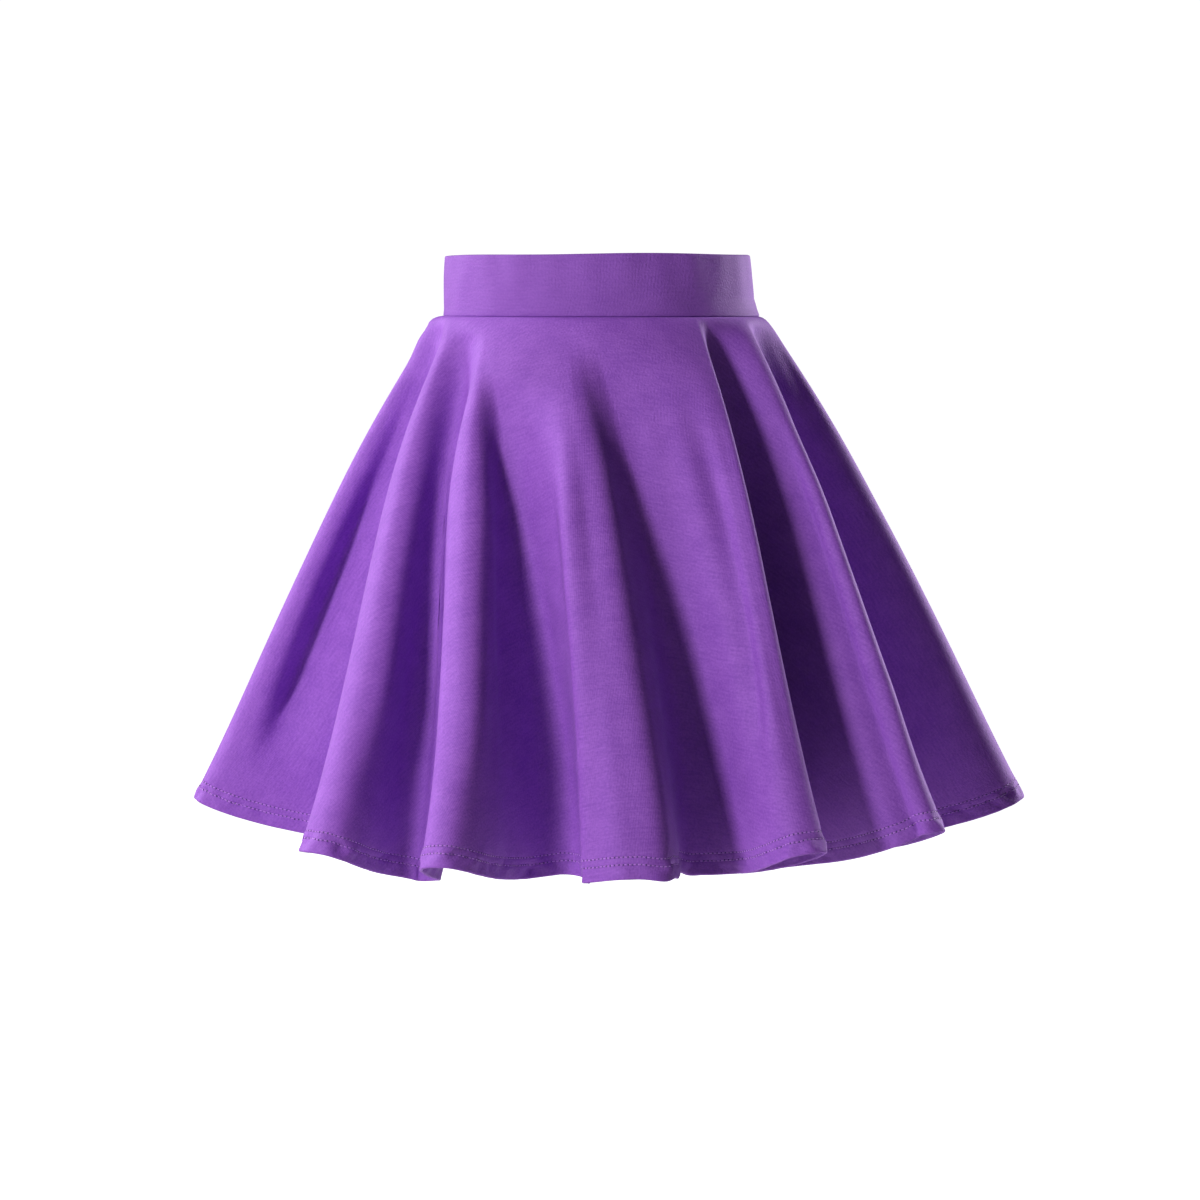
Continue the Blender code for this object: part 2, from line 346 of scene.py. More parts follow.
def columnPlaces():
    # the wall and the share of it, 0 at its ridge or valley, of every column
    walls, shares = [], []
    for wall in range(foldCount):
        even = np.arange(skirt["columnsPerWall"]) / skirt["columnsPerWall"]
        u = even + skirt["bunching"] * ((0.5 - 0.5 * np.cos(np.pi * even)) - even)
        if wall in (skirt["leftSeamWall"], skirt["rightSeamWall"]):   # closer at the side seams
            close = np.array(skirt["seamColumns"])
            u = np.concatenate([u[np.abs(u - 0.5) > skirt["seamClear"]], [0.5], 0.5 - close, 0.5 + close])
        u = np.sort(u)
        walls += [wall] * len(u)
        shares += list(u)
    return np.array(walls), np.array(shares)


def ringAt(share, walls, u):
    angle, point, along = foldsAt(share)
    following = np.roll(angle, -1)
    following = np.where(following < angle, following + 2 * np.pi, following)
    between = angle[:, None] + (following - angle)[:, None] * np.linspace(0, 1, 9)
    third = np.linalg.norm(np.diff(onOutline(share, between), axis=1), axis=2).sum(axis=1) / 3
    onset = np.maximum(folds["onset"], np.roll(folds["onset"], -1))
    formed = ease((share - onset) / skirt["fluteForms"])
    size = (skirt["waistCutRadius"] + skirt["length"] * share) / (skirt["waistCutRadius"] + skirt["length"])
    leaving = third * (1 - formed) + folds["rightReach"] / 1000 * size * formed
    arriving = third * (1 - formed) + np.roll(folds["leftReach"], -1) / 1000 * size * formed
    end, endAlong = np.roll(point, -1, axis=0), np.roll(along, -1, axis=0)
    handles = (point, point + along * leaving[:, None], end - endAlong * arriving[:, None], end)
    weights = ((1 - u) ** 3, 3 * u * (1 - u) ** 2, 3 * u * u * (1 - u), u**3)
    return sum(w[:, None] * h[walls] for w, h in zip(weights, handles))


hem = {
    "turn": 0.0172,           # how far the turned-up cloth reaches
    "rows": (0.0104, 0.0160),                # the two rows of stitches, above the fold
    "foldRadius": 0.00115,
    "groove": 0.00040,        # at each row of stitches
    "grooveWidth": 0.0008,
    "pucker": 0.00072,
    "swellWaves": 9,          # pucker waves to each swell of their height
    "puckerWaves": ((83, 120), (127, -190), (173, 260), (211, -230), (257, 300)),   # turns, slant
    "bandMiddle": 0.0085,     # height over the fold of the puckered band
    "bandWidth": 0.0070,
    "dimples": 110,           # small slanting puckers all round
    "dimpleStray": 0.35,
    "dimpleWidth": 0.0042,
    "dimpleLength": 0.0055,
    "dimpleLean": 1.2,
    "dimpleDepth": (0.0006, 0.0019),
    "dimpleHeight": (0.006, 0.013),
    "dimpleReach": 0.030,
    "ripple": 0.00005,        # of the turned-up cloth
    "ripples": 260,
    "turnEase": 0.00015,
    "turnCut": (0.002, 0.020),               # its place below the panel in the flat cut
    "looperDepth": 0.0002,
    "looperStep": 0.00145,
    "looperEnd": 0.001,
}


def rowPlaces():
    # metres of cloth below the waist seam: close together at the seam and in the hem
    top = [0.0, 0.0006, 0.0014, 0.0025, 0.004, 0.0065, 0.0095, 0.013, 0.017, 0.0215]
    bottom = [
        0.0300, 0.0265, 0.0235, 0.0210, 0.0190, 0.0176, 0.0168, 0.0164, 0.0160, 0.0156, 0.0152, 0.0143,
        0.0130, 0.0117, 0.0108, 0.0104, 0.0100, 0.0094, 0.0082, 0.0066, 0.0050, 0.0035, 0.0022,
        hem["foldRadius"],
    ]
    between = np.linspace(0.0265, skirt["length"] - 0.0345, 50)
    return np.concatenate([top, between, skirt["length"] - np.array(bottom)])


walls, wallShare = columnPlaces()
columnPlace = walls + wallShare
nextLength = np.roll(folds["length"], -1)
clothLength = folds["length"][walls] + (nextLength - folds["length"])[walls] * ease(wallShare)
# the hem of the fourth flute: a little longer at its corner, shorter on the side that turns away
hemChanges = ((6.17, 0.10, 0.006), (6.72, 0.17, -0.012))   # fold place, width, share of the length
for place, width, more in hemChanges:
    clothLength = clothLength + more * np.exp(-(((columnPlace - place) / width) ** 2))
downs = rowPlaces()


def middleGrid():
    plan = ringAt(0.0, walls, wallShare)
    height = np.full(len(plan), skirt["top"])
    rows = [np.column_stack([plan, height])]
    for upper, lower in zip(downs, downs[1:]):
        steps = max(1, int(np.ceil((lower - upper) / skirt["stepDown"])))
        for down in np.linspace(upper, lower, steps + 1)[1:]:
            nextPlan = ringAt(down / skirt["length"], walls, wallShare)
            length = clothLength * (lower - upper) / steps
            sideways = np.linalg.norm(nextPlan - plan, axis=1)
            drop = np.maximum(length**2 - sideways**2, (skirt["leastDrop"] * length) ** 2)
            height = height - np.sqrt(drop)
            plan = nextPlan
        rows.append(np.column_stack([plan, height]))
    return np.array(rows)


middle = middleGrid()
print("skirt form:", middle.shape)

# length along each row from the first ridge, and the place of every point in the flat cut
steps = np.linalg.norm(np.diff(middle, axis=1), axis=2)
along = np.concatenate([np.zeros((len(middle), 1)), np.cumsum(steps, axis=1)], axis=1)
around = along[:, -1] + np.linalg.norm(middle[:, 0] - middle[:, -1], axis=1)
cutAngle = 2 * np.pi * along / around[:, None]
radius = skirt["waistCutRadius"] + downs[:, None] * clothLength[None, :]
print("round the hem: %.3f m" % around[-1])


# creases, puckers and the roll of the seams are moves along the cloth's normal
# each crease: its width in mm, or its left and right widths, or these at its start and its end;
# its depth in mm, + for a trough and - for a ridge; and its path as (fold place, mm down the cloth),
# where fold places count on from ridge1 at 0, one to each wall
creases = {
    "first flute's trough": (((7, 20), (9, 26)), 20.0,
                             ((0.56, 30), (0.50, 91), (0.45, 160), (0.41, 230), (0.39, 300), (0.39, 400))),
    "first flute's dents": (7, 1.3, ((0.12, 330), (0.20, 372), (0.30, 405))),
    "second flute's crown": ((12, 21), -7.5, ((2.34, 50), (2.30, 155), (2.28, 250), (2.28, 380))),
    "second flute's far side": ((14, 46), -12.0,
                                ((3.00, 50), (2.92, 170), (2.86, 240), (2.82, 344), (2.86, 410))),
    "third flute's crown": ((10, 20), -7.0, ((4.18, 60), (4.26, 160), (4.20, 250), (4.16, 400))),
    "third flute's fine crease": (5, -0.9, ((4.38, 137), (4.41, 257), (4.45, 376), (4.50, 430))),
    "fourth flute's crown": (9, -8.0, ((5.88, 55), (5.87, 140), (5.80, 250), (5.72, 372), (5.72, 425))),
    "fourth flute's edge": (12, -5.0, ((6.26, 40), (6.22, 130), (6.20, 243), (6.18, 317), (6.18, 410))),
    "fifth flute's trough": (11, 9.0, ((7.66, 50), (7.70, 110), (7.73, 200), (7.74, 260), (7.68, 390))),
    "fifth flute's rim": (5, 1.4, ((7.90, 70), (7.93, 178), (7.95, 284), (7.97, 390))),
    "sixth flute's crown": (9, -4.5, ((9.94, 90), (10.00, 238), (10.02, 321), (10.03, 400))),
    "sixth flute's shoulder": (15, 12.0, ((9.74, 40), (9.78, 132), (9.81, 238), (9.83, 321), (9.84, 410))),
    "small fold at the right": (6, 2.6, ((11.84, 8), (11.72, 31), (11.68, 77), (11.66, 120))),
    "right side's soft trough": (14, 2.4, ((12.5, 60), (12.46, 180), (12.52, 330))),
    "back right flute's trough": (12, 3.6, ((14.55, 45), (14.45, 180), (14.40, 360))),
    "back right crown": (9, -1.8, ((16.10, 70), (16.14, 220), (16.06, 410))),
    "back flute's fine crease": (6, -1.2, ((18.30, 90), (18.36, 250), (18.42, 420))),
    "back middle trough": (10, 2.4, ((19.45, 60), (19.52, 200), (19.46, 370))),
    "back left crown": (9, -2.0, ((21.90, 60), (21.84, 230), (21.92, 400))),
    "back left flute's trough": (13, 4.0, ((22.55, 40), (22.46, 190), (22.50, 350))),
    "left side's soft trough": (12, 2.2, ((24.50, 60), (24.58, 200), (24.52, 330))),
}
creaseForm = {
    "toHem": 0.405,           # a crease that reaches below this runs on through the hem
    "fadeOut": 0.09,
    "fadeIn": (0.05, 0.008),                 # metres, and metres more for each mm of depth
}
# small wrinkles across the cloth just under the waist seam: fold place, then in mm how far down it lies,
# its half length, width and depth
seamWrinkles = (
    (7.35, 12, 26, 2.6, 0.45),
    (8.9, 9, 14, 2.4, 0.40),
    (6.3, 8, 20, 2.2, 0.25),
    (2.6, 10, 14, 2.4, 0.30),
    (16.2, 11, 16, 2.6, 0.40),
    (20.4, 9, 18, 2.4, 0.35),
)
wrinkleSway = 0.0012
sidePuffs = ((0.0080, 0.0055, 0.0024), (0.024, 0.014, 0.0026))   # down, width, out
sidePuffSpan = 0.6            # fold places
# slow unevenness of a soft knit, in whole waves all round so that the side seams meet
slowWaves = {
    "height": 0.00022,
    "turns": (9, 14, 23, 31, 44, 61),
    "slopes": (3.0, 9.0),
    "sway": 2.4,
    "start": 0.01,            # below the waist seam
    "growth": 0.16,
}


def alongAt(row, place):
    # metres along this row to a fold place
    line = np.append(along[row], along[row, -1] + skirt["lastStep"])
    return np.interp(place, np.append(columnPlace, foldCount), line)


def creaseMoves():
    move = np.zeros(middle.shape[:2])
    for width, depth, path in creases.values():
        foldPlaces, pathDowns = np.array(path, float).T
        first, last = pathDowns[0] / 1000, pathDowns[-1] / 1000
        toHem = last > creaseForm["toHem"]
        widths = np.broadcast_to(np.array(width, float), (2, 2))   # start and end, left and right
        fadeOut = 1.0 if toHem else ease((last - downs) / creaseForm["fadeOut"])
        least, more = creaseForm["fadeIn"]
        fading = ease((downs - first) / (least + more * abs(depth))) * fadeOut
        for row in np.nonzero((downs > first) & ((downs < last) | toHem))[0]:
            apart = 1000 * (along[row] - alongAt(row, np.interp(1000 * downs[row], pathDowns, foldPlaces)))
            share = min(1.0, (downs[row] - first) / (last - first))
            left, right = widths[0] + (widths[1] - widths[0]) * share
            apart = apart / np.where(apart < 0, left, right)
            move[row] -= depth / 1000 * fading[row] * np.exp(-apart**2)
    return move


def seamMoves(move):
    # wrinkles and puffs under the waist seam
    for fold, down, reach, width, depth in seamWrinkles:
        centre = np.array([alongAt(row, fold) for row in range(len(downs))])
        apart = (along - centre[:, None]) / (reach / 1000)
        sway = down / 1000 + wrinkleSway * np.sin(3 * apart)
        move -= depth / 1000 * np.exp(-2 * apart**2 - ((downs[:, None] - sway) / (width / 1000)) ** 2)
    near = (columnPlace + 0.5 * foldCount) % foldCount - 0.5 * foldCount
    for down, width, out in sidePuffs:
        beside = np.exp(-((near / sidePuffSpan) ** 2))
        move += out * beside * np.exp(-(((downs - down) / width) ** 2))[:, None]


def slowMoves(move, chance):
    growth = ease((downs - slowWaves["start"]) / slowWaves["growth"])[:, None]
    for turns in slowWaves["turns"]:
        for slope in slowWaves["slopes"]:
            a, b = chance.uniform(0, 2 * np.pi, 2)
            wave = np.sin(turns * cutAngle + slope * downs[:, None] + a)
            wave = wave * np.cos(slowWaves["sway"] * slope * downs[:, None] + b)
            move += slowWaves["height"] * wave * growth


def hemMoves(move, chance):
    # grooves at the stitches, puckers between them and up to the fold, then the small dimples
    up = skirt["length"] - downs
    for row in hem["rows"]:
        move -= hem["groove"] * np.exp(-(((up - row) / hem["grooveWidth"]) ** 2))[:, None]
    band = np.exp(-(((up - hem["bandMiddle"]) / hem["bandWidth"]) ** 2))[:, None]
    for turns, slant in hem["puckerWaves"]:
        a, b = chance.uniform(0, 2 * np.pi, 2)
        swell = 0.5 + 0.5 * np.sin(turns // hem["swellWaves"] * cutAngle + b)
        move += hem["pucker"] * band * swell * np.sin(turns * cutAngle + slant * up[:, None] + a)
    rim = up < hem["dimpleReach"]
    rimUp = up[rim, None]
    count, stray = hem["dimples"], hem["dimpleStray"]
    for spot in (np.arange(count) + chance.uniform(-stray, stray, count)) / count:
        lean = chance.uniform(-hem["dimpleLean"], hem["dimpleLean"])
        deep = chance.uniform(*hem["dimpleDepth"])
        high = chance.uniform(*hem["dimpleHeight"])
        apart = (cutAngle[rim] / (2 * np.pi) - spot + 0.5) % 1.0 - 0.5
        apart = apart * around[rim, None] - lean * (rimUp - high)
        across = (apart / hem["dimpleWidth"]) ** 2
        move[rim] -= deep * np.exp(-across - ((rimUp - high) / hem["dimpleLength"]) ** 2)


def fineMoves():
    move = creaseMoves()
    chance = np.random.default_rng(7)
    seamMoves(move)
    slowMoves(move, chance)
    hemMoves(move, chance)
    return move


def seamColumn(wall):
    return int(np.nonzero((walls == wall) & (wallShare == 0.5))[0][0])


def sideSeamRoll(grid):
    # both panels turn in where they are sewn together
    move = np.zeros(grid.shape[:2])
    for wall in (skirt["leftSeamWall"], skirt["rightSeamWall"]):
        seam = seamColumn(wall)
        away = np.linalg.norm(grid - grid[:, seam:seam + 1], axis=2)
        move -= skirt["seamRoll"] * np.exp(-((away / skirt["seamRollWidth"]) ** 2))
    return move


# nearly level, so that the hem line stays where it hangs
level = unit(normalsOf(middle) * np.array([1.0, 1.0, skirt["levelling"]]))
surface = middle + level * (fineMoves() + sideSeamRoll(middle))[..., None]
outward = normalsOf(surface)
downward = unit(np.gradient(surface, axis=0))
print("creases and puckers laid")


def turnedEdge(row, radius, angles, way):
    # (outer, inner) rows that go on round the edge of the cloth: way 1 at the hem, -1 at the waist seam
    centre = surface[row] + outward[row] * (skirt["face"] - radius)
    outer, inner = [], []
    for angle in np.radians(angles):
        spoke = np.cos(angle) * outward[row] + way * np.sin(angle) * downward[row]
        outer.append(centre + spoke * radius)
        inner.append(centre + spoke * max(radius - skirt["thickness"], skirt["leastRadius"]))
    return outer, inner


topOuter, topInner = turnedEdge(0, skirt["topRoll"], (85, 60, 35, 15), -1)
endOuter, endInner = turnedEdge(-1, hem["foldRadius"], (20, 40, 60, 78, 89), 1)
outerSkin = np.array(topOuter + list(surface + outward * skirt["face"]) + endOuter)
innerSkin = np.array(topInner + list(surface + outward * (skirt["face"] - skirt["thickness"])) + endInner)
topShares = np.array([[1.0], [0.75], [0.5], [0.25]])
allRadius = np.concatenate([
    radius[:1] - skirt["topRoll"] * topShares,
    radius,
    radius[-1:] + skirt["edgeStep"] * np.arange(1, len(endOuter) + 1)[:, None],
])
allAngles = np.concatenate([cutAngle[:1]] * len(topOuter) + [cutAngle] + [cutAngle[-1:]] * len(endOuter))

leftSeam = seamColumn(skirt["leftSeamWall"]) - len(walls)
rightSeam = seamColumn(skirt["rightSeamWall"])
halves = {"front": (leftSeam, rightSeam), "back": (rightSeam, leftSeam + len(walls))}


def drawnBack(grid):
    for end, inner in ((0, 1), (-1, -2)):
        step = grid[:, inner] - grid[:, end]
        grid[:, end] += 0.5 * skirt["seamGap"] * unit(step)
    return grid


def cutPlaces(radii, angles, span):
    # the same points in the flat half circle, its middle turned to the front
    spots = np.arange(span[0], span[1] + 1)
    turn = angles[:, spots % len(walls)] + 2 * np.pi * (spots // len(walls))
    turn = turn - 0.5 * (turn[:, :1] + turn[:, -1:])
    r = columnsOf(radii, *span)
    return np.stack([r * np.sin(turn), -r * np.cos(turn)], axis=-1)


pieces = {}
for half, span in halves.items():
    outer = drawnBack(columnsOf(outerSkin, *span).copy())
    inner = drawnBack(columnsOf(innerSkin, *span).copy())
    places = cutPlaces(allRadius, allAngles, span)
    pieces["skirt_" + half] = addCloth("skirtPanel_" + half, outer, inner, places, jersey, sharp=75)
print("skirt panels made")


# the hem turn-up: round the fold and up the inside, its edge held by the stitches
up = skirt["length"] - downs
turnRows = np.nonzero(up <= hem["turn"])[0][::-1]
foldOuter, foldInner = turnedEdge(-1, hem["foldRadius"], (91, 105, 122, 140, 160, 178), 1)
far = skirt["face"] - 2 * hem["foldRadius"]
ripple = hem["ripple"] * np.sin(hem["ripples"] * cutAngle[-1])
innerFar = far + skirt["thickness"] - hem["turnEase"]
riseOuter = [surface[r] + outward[r] * (far + ripple[:, None]) for r in turnRows]
riseInner = [surface[r] + outward[r] * innerFar for r in turnRows]
turnOuter = np.array(foldOuter + riseOuter)
turnInner = np.array(foldInner + riseInner)
turnRadius = radius[-1:] + np.linspace(*hem["turnCut"], len(turnOuter))[:, None]
turnAngles = np.repeat(cutAngle[-1:], len(turnOuter), axis=0)
for half, span in halves.items():
    outer = drawnBack(columnsOf(turnOuter, *span).copy())
    inner = drawnBack(columnsOf(turnInner, *span).copy())
    places = cutPlaces(turnRadius, turnAngles, span)
    pieces["hem_" + half] = addCloth("hemTurnUp_" + half, outer, inner, places, jersey)
print("hem turn-ups made")


# the waistband: one cloth folded double over the top edge, both its edges in the seam
band = {
    "height": 0.047,
    # share of the height, half width, half depth, centre x
    "rings": (
        (0.00, 0.1216, 0.0845, 0.0012),
        (0.12, 0.1196, 0.0842, 0.0001),
        (0.28, 0.1182, 0.0838, -0.0010),
        (1.00, 0.1168, 0.0828, -0.0016),
    ),
    "face": 0.0012,
    "thickness": 0.00105,
    "lowRoll": 0.0011,        # radius of its edges in the waist seam
    "topEase": 0.0012,
    "rows": 26,               # up each face
    "columns": 160,           # in each half
    "bunching": 0.035,        # of the columns towards the side seams
    "meanRadius": 0.0835,
    "crown": 0.0009,          # how far its faces bulge
    "crownPower": 0.7,
    "innerCrown": 0.4,        # share of it on the inner face
    "wave": 0.00022,
    "waves": (7, 11, 17, 26),
    "waveSlope": 3.0,
    "waveGrowth": 0.2,        # share of the height they grow over
    "endRoll": 0.0008,        # how far its faces turn in at the side seams
    "endRollWidth": 0.0014,
    "endRadius": 0.1,         # makes metres of the angle to a side seam
    "sway": ((0.0005, 2, 0.6), (0.0003, 5, 0.0)),   # of its top edge: height, turns, start
    "cutPlace": 1.2,          # where it lies in the flat cut, clear of the panels
    "measured": (12, 40),     # the row and the column that its cloth is measured along
}


def rolled(centreHeight, centreOff, radius, angles, way=1):
    # points round an edge: way 1 from the outer face, -1 from the inner one
    angles = np.radians(angles)
    return [(centreHeight - radius * np.sin(a), centreOff + way * radius * np.cos(a)) for a in angles]


def bandPath():
    # (height, move off the middle) of the cloth's two faces: up the outside, over and down the inside
    top, face, wall, low = band["height"], band["face"], band["thickness"], band["lowRoll"]
    rise = np.linspace(low, top - face - band["topEase"], band["rows"])
    outer = rolled(low, face - low, low, (80, 58, 36, 16))
    inner = rolled(low, face - low, low - wall, (80, 58, 36, 16))
    outer += [(z, face) for z in rise]
    inner += [(z, face - wall) for z in rise]
    over = (0, -16, -34, -52, -71, -90, -109, -128, -146, -164, -180)
    outer += rolled(top - face, 0.0, face, over)
    inner += rolled(top - face, 0.0, face - wall, over)
    outer += [(z, -face) for z in rise[::-1]]
    inner += [(z, -face + wall) for z in rise[::-1]]
    outer += rolled(low, low - face, low, (20, 50, 78), -1)
    inner += rolled(low, low - face, low - wall, (20, 50, 78), -1)
    return outer, inner


def bandGrid(centre, path):
    shares, halfWidths, halfDepths, centres = np.array(band["rings"]).T
    end = 0.5 * np.pi - 0.5 * skirt["seamGap"] / band["meanRadius"]
    even = np.linspace(-1, 1, band["columns"] + 1)
    angles = centre + end * (even + band["bunching"] * np.sin(np.pi * even))
    chance = np.random.default_rng(11)
    waves = [(k, *chance.uniform(0, 2 * np.pi, 2)) for k in band["waves"]]
    nearEnd = np.minimum(np.abs(angles - angles[0]), np.abs(angles - angles[-1])) * band["endRadius"]
    sway = sum(high * np.sin(turns * angles + start) for high, turns, start in band["sway"])
    grid = []
    for z, off in path:
        share = z / band["height"]
        halfWidth = np.interp(share, shares, halfWidths)
        halfDepth = np.interp(share, shares, halfDepths)
        centreX = np.interp(share, shares, centres)
        mid = np.column_stack([centreX + halfWidth * np.sin(angles), -halfDepth * np.cos(angles)])
        out = unit(np.column_stack([halfDepth * np.sin(angles), -halfWidth * np.cos(angles)]))
        slant = band["waveSlope"] * share
        soft = sum(band["wave"] * np.sin(k * angles + a) * np.cos(slant + b) for k, a, b in waves)
        soft = soft * ease(share / band["waveGrowth"])   # none at the seam, where the skirt meets it
        bulge = np.sin(np.pi * np.clip(share, 0, 1)) ** band["crownPower"]
        crown = band["crown"] * bulge * (1 if off > 0 else band["innerCrown"])
        ends = band["endRoll"] * np.exp(-((nearEnd / band["endRollWidth"]) ** 2))
        ends = ends * np.clip(off / band["face"], -1, 1)
        plan = mid + out * (off + soft + crown - ends)[:, None]
        height = z - 0.5 * band["height"] + sway * share
        grid.append(np.column_stack([plan, height]))
    return np.array(grid)


def lengthsAlong(line):
    return np.concatenate([[0], np.cumsum(np.linalg.norm(np.diff(line, axis=0), axis=1))])


outerPath, innerPath = bandPath()
for half, centre in (("front", 0.0), ("back", np.pi)):
    outer, inner = bandGrid(centre, outerPath), bandGrid(centre, innerPath)
    row, column = band["measured"]
    run, rise = lengthsAlong(outer[row]), lengthsAlong(outer[:, column])
    place = np.stack(np.broadcast_arrays(run[None, :], band["cutPlace"] - rise[:, None]), axis=-1)
    # rows run down the outside in addCloth, so the path is turned round
    outer, inner, place = outer[::-1], inner[::-1], place[::-1]
    pieces["waistband_" + half] = addCloth("waistbandCloth_" + half, outer, inner, place, bandJerseyPaintedShade)
print("waistband made")


# settings of the stitches, which Geometry Nodes lays along lines on the cloth
needlework = {
    "stray": 0.10,            # radians either way that a stitch turns from its row
    "bowSteps": 4,
    "threadSides": 5,
    "holeSides": 6,
    "holeDepth": 0.0003,
    "holeRise": 0.00014,      # of the dark cone over the row's line, painted shade of the needle hole
    "lift": 0.00006,          # of the row's line over the cloth
}


def nodeTree(name, sockets):
    tree = bpy.data.node_groups.new(name, "GeometryNodeTree")
    tree.interface.new_socket(name="Geometry", in_out="INPUT", socket_type="NodeSocketGeometry")
    for label, kind in sockets:
        tree.interface.new_socket(name=label, in_out="INPUT", socket_type=kind)
    tree.interface.new_socket(name="Geometry", in_out="OUTPUT", socket_type="NodeSocketGeometry")
    return tree, tree.nodes.new("NodeGroupInput"), tree.nodes.new("NodeGroupOutput")


def stitchTree():
    # one short bowed thread per stitch, square to the cloth
    number, paint = "NodeSocketFloat", "NodeSocketMaterial"
    tree, given, result = nodeTree("hemStitches", (
        ("Pitch", number), ("Stitch Length", number), ("Thread Radius", number), ("Rise", number),
        ("Turn", number), ("Seed", "NodeSocketInt"), ("Thread", paint), ("Hole", paint),
        ("Hole Radius", number),
    ))
    new = tree.nodes.new
    curve = new("GeometryNodeMeshToCurve")
    link(tree, given.outputs["Geometry"], curve.inputs[0])
    spaced = new("GeometryNodeResampleCurve")
    spaced.mode = "LENGTH"
    link(tree, curve.outputs[0], spaced.inputs["Curve"])
    link(tree, given.outputs["Pitch"], spaced.inputs["Length"])

    tangent = new("GeometryNodeInputTangent")
    outwardIn = new("GeometryNodeInputNamedAttribute")
    outwardIn.data_type = "FLOAT_VECTOR"
    outwardIn.inputs["Name"].default_value = "outward"
    alongX = new("FunctionNodeAlignRotationToVector")
    alongX.axis = "X"
    link(tree, tangent.outputs[0], alongX.inputs["Vector"])
    upZ = new("FunctionNodeAlignRotationToVector")
    upZ.axis = "Z"
    upZ.pivot_axis = "X"
    link(tree, alongX.outputs[0], upZ.inputs["Rotation"])
    link(tree, outwardIn.outputs["Attribute"], upZ.inputs["Vector"])
    chance = new("FunctionNodeRandomValue")
    chance.data_type = "FLOAT"
    chance.inputs[2].default_value = -needlework["stray"]
    chance.inputs[3].default_value = needlework["stray"]
    link(tree, given.outputs["Seed"], chance.inputs["Seed"])
    turn = mathNode(tree, "ADD", given.outputs["Turn"], chance.outputs[1])
    spin = new("ShaderNodeCombineXYZ")
    link(tree, turn, spin.inputs["Z"])
    turned = new("FunctionNodeRotateRotation")
    turned.rotation_space = "LOCAL"
    link(tree, upZ.outputs[0], turned.inputs["Rotation"])
    link(tree, spin.outputs[0], turned.inputs["Rotate By"])

    # the thread: down into the cloth at both ends
    halfLength = mathNode(tree, "MULTIPLY", given.outputs["Stitch Length"], 0.5)
    minus = mathNode(tree, "MULTIPLY", halfLength, -1.0)
    dip = mathNode(tree, "MULTIPLY", given.outputs["Rise"], -1.0)
    crest = mathNode(tree, "MULTIPLY", given.outputs["Rise"], 2.0)
    ends = []
    for x, z in ((minus, dip), (None, crest), (halfLength, dip)):
        point = new("ShaderNodeCombineXYZ")
        if x is not None:
            link(tree, x, point.inputs["X"])
        link(tree, z, point.inputs["Z"])
        ends.append(point)
    bow = new("GeometryNodeCurveQuadraticBezier")
    bow.inputs["Resolution"].default_value = needlework["bowSteps"]
    for socket, point in zip(("Start", "Middle", "End"), ends):
        link(tree, point.outputs[0], bow.inputs[socket])
    section = new("GeometryNodeCurvePrimitiveCircle")
    section.inputs["Resolution"].default_value = needlework["threadSides"]
    link(tree, given.outputs["Thread Radius"], section.inputs["Radius"])
    strand = new("GeometryNodeCurveToMesh")
    strand.inputs["Fill Caps"].default_value = True
    link(tree, bow.outputs[0], strand.inputs["Curve"])
    link(tree, section.outputs[0], strand.inputs["Profile Curve"])

    # a small dark cone beside each stitch, painted shade where the needle's hole is
    dimple = new("GeometryNodeMeshCone")
    dimple.inputs["Vertices"].default_value = needlework["holeSides"]
    dimple.inputs["Depth"].default_value = needlework["holeDepth"]
    link(tree, given.outputs["Hole Radius"], dimple.inputs["Radius Bottom"])
    halfPitch = mathNode(tree, "MULTIPLY", given.outputs["Pitch"], 0.5)
    beside = new("ShaderNodeCombineXYZ")
    beside.inputs["Z"].default_value = needlework["holeRise"]
    link(tree, halfPitch, beside.inputs["X"])
    moved = new("GeometryNodeTransform")
    link(tree, dimple.outputs["Mesh"], moved.inputs["Geometry"])
    link(tree, beside.outputs[0], moved.inputs["Translation"])

    real = []
    for shape, material in ((strand, "Thread"), (moved, "Hole")):
        copies = new("GeometryNodeInstanceOnPoints")
        link(tree, spaced.outputs[0], copies.inputs["Points"])
        link(tree, shape.outputs[0], copies.inputs["Instance"])
        link(tree, turned.outputs[0], copies.inputs["Rotation"])
        solid = new("GeometryNodeRealizeInstances")
        link(tree, copies.outputs[0], solid.inputs[0])
        painted = new("GeometryNodeSetMaterial")
        link(tree, solid.outputs[0], painted.inputs["Geometry"])
        link(tree, given.outputs[material], painted.inputs["Material"])
        real.append(painted)
    both = new("GeometryNodeJoinGeometry")
    for painted in real:
        link(tree, painted.outputs[0], both.inputs[0])
    link(tree, both.outputs[0], result.inputs[0])
    return tree


def cordTree():
    # a thread laid along the line
    sockets = (("Thread Radius", "NodeSocketFloat"), ("Thread", "NodeSocketMaterial"))
    tree, given, result = nodeTree("looperThread", sockets)
    new = tree.nodes.new
    curve = new("GeometryNodeMeshToCurve")
    link(tree, given.outputs["Geometry"], curve.inputs[0])
    section = new("GeometryNodeCurvePrimitiveCircle")
    section.inputs["Resolution"].default_value = needlework["threadSides"]
    link(tree, given.outputs["Thread Radius"], section.inputs["Radius"])
    strand = new("GeometryNodeCurveToMesh")
    strand.inputs["Fill Caps"].default_value = True
    link(tree, curve.outputs[0], strand.inputs["Curve"])
    link(tree, section.outputs[0], strand.inputs["Profile Curve"])
    real = new("GeometryNodeRealizeInstances")
    link(tree, strand.outputs[0], real.inputs[0])
    painted = new("GeometryNodeSetMaterial")
    link(tree, real.outputs[0], painted.inputs["Geometry"])
    link(tree, given.outputs["Thread"], painted.inputs["Material"])
    link(tree, painted.outputs[0], result.inputs[0])
    return tree


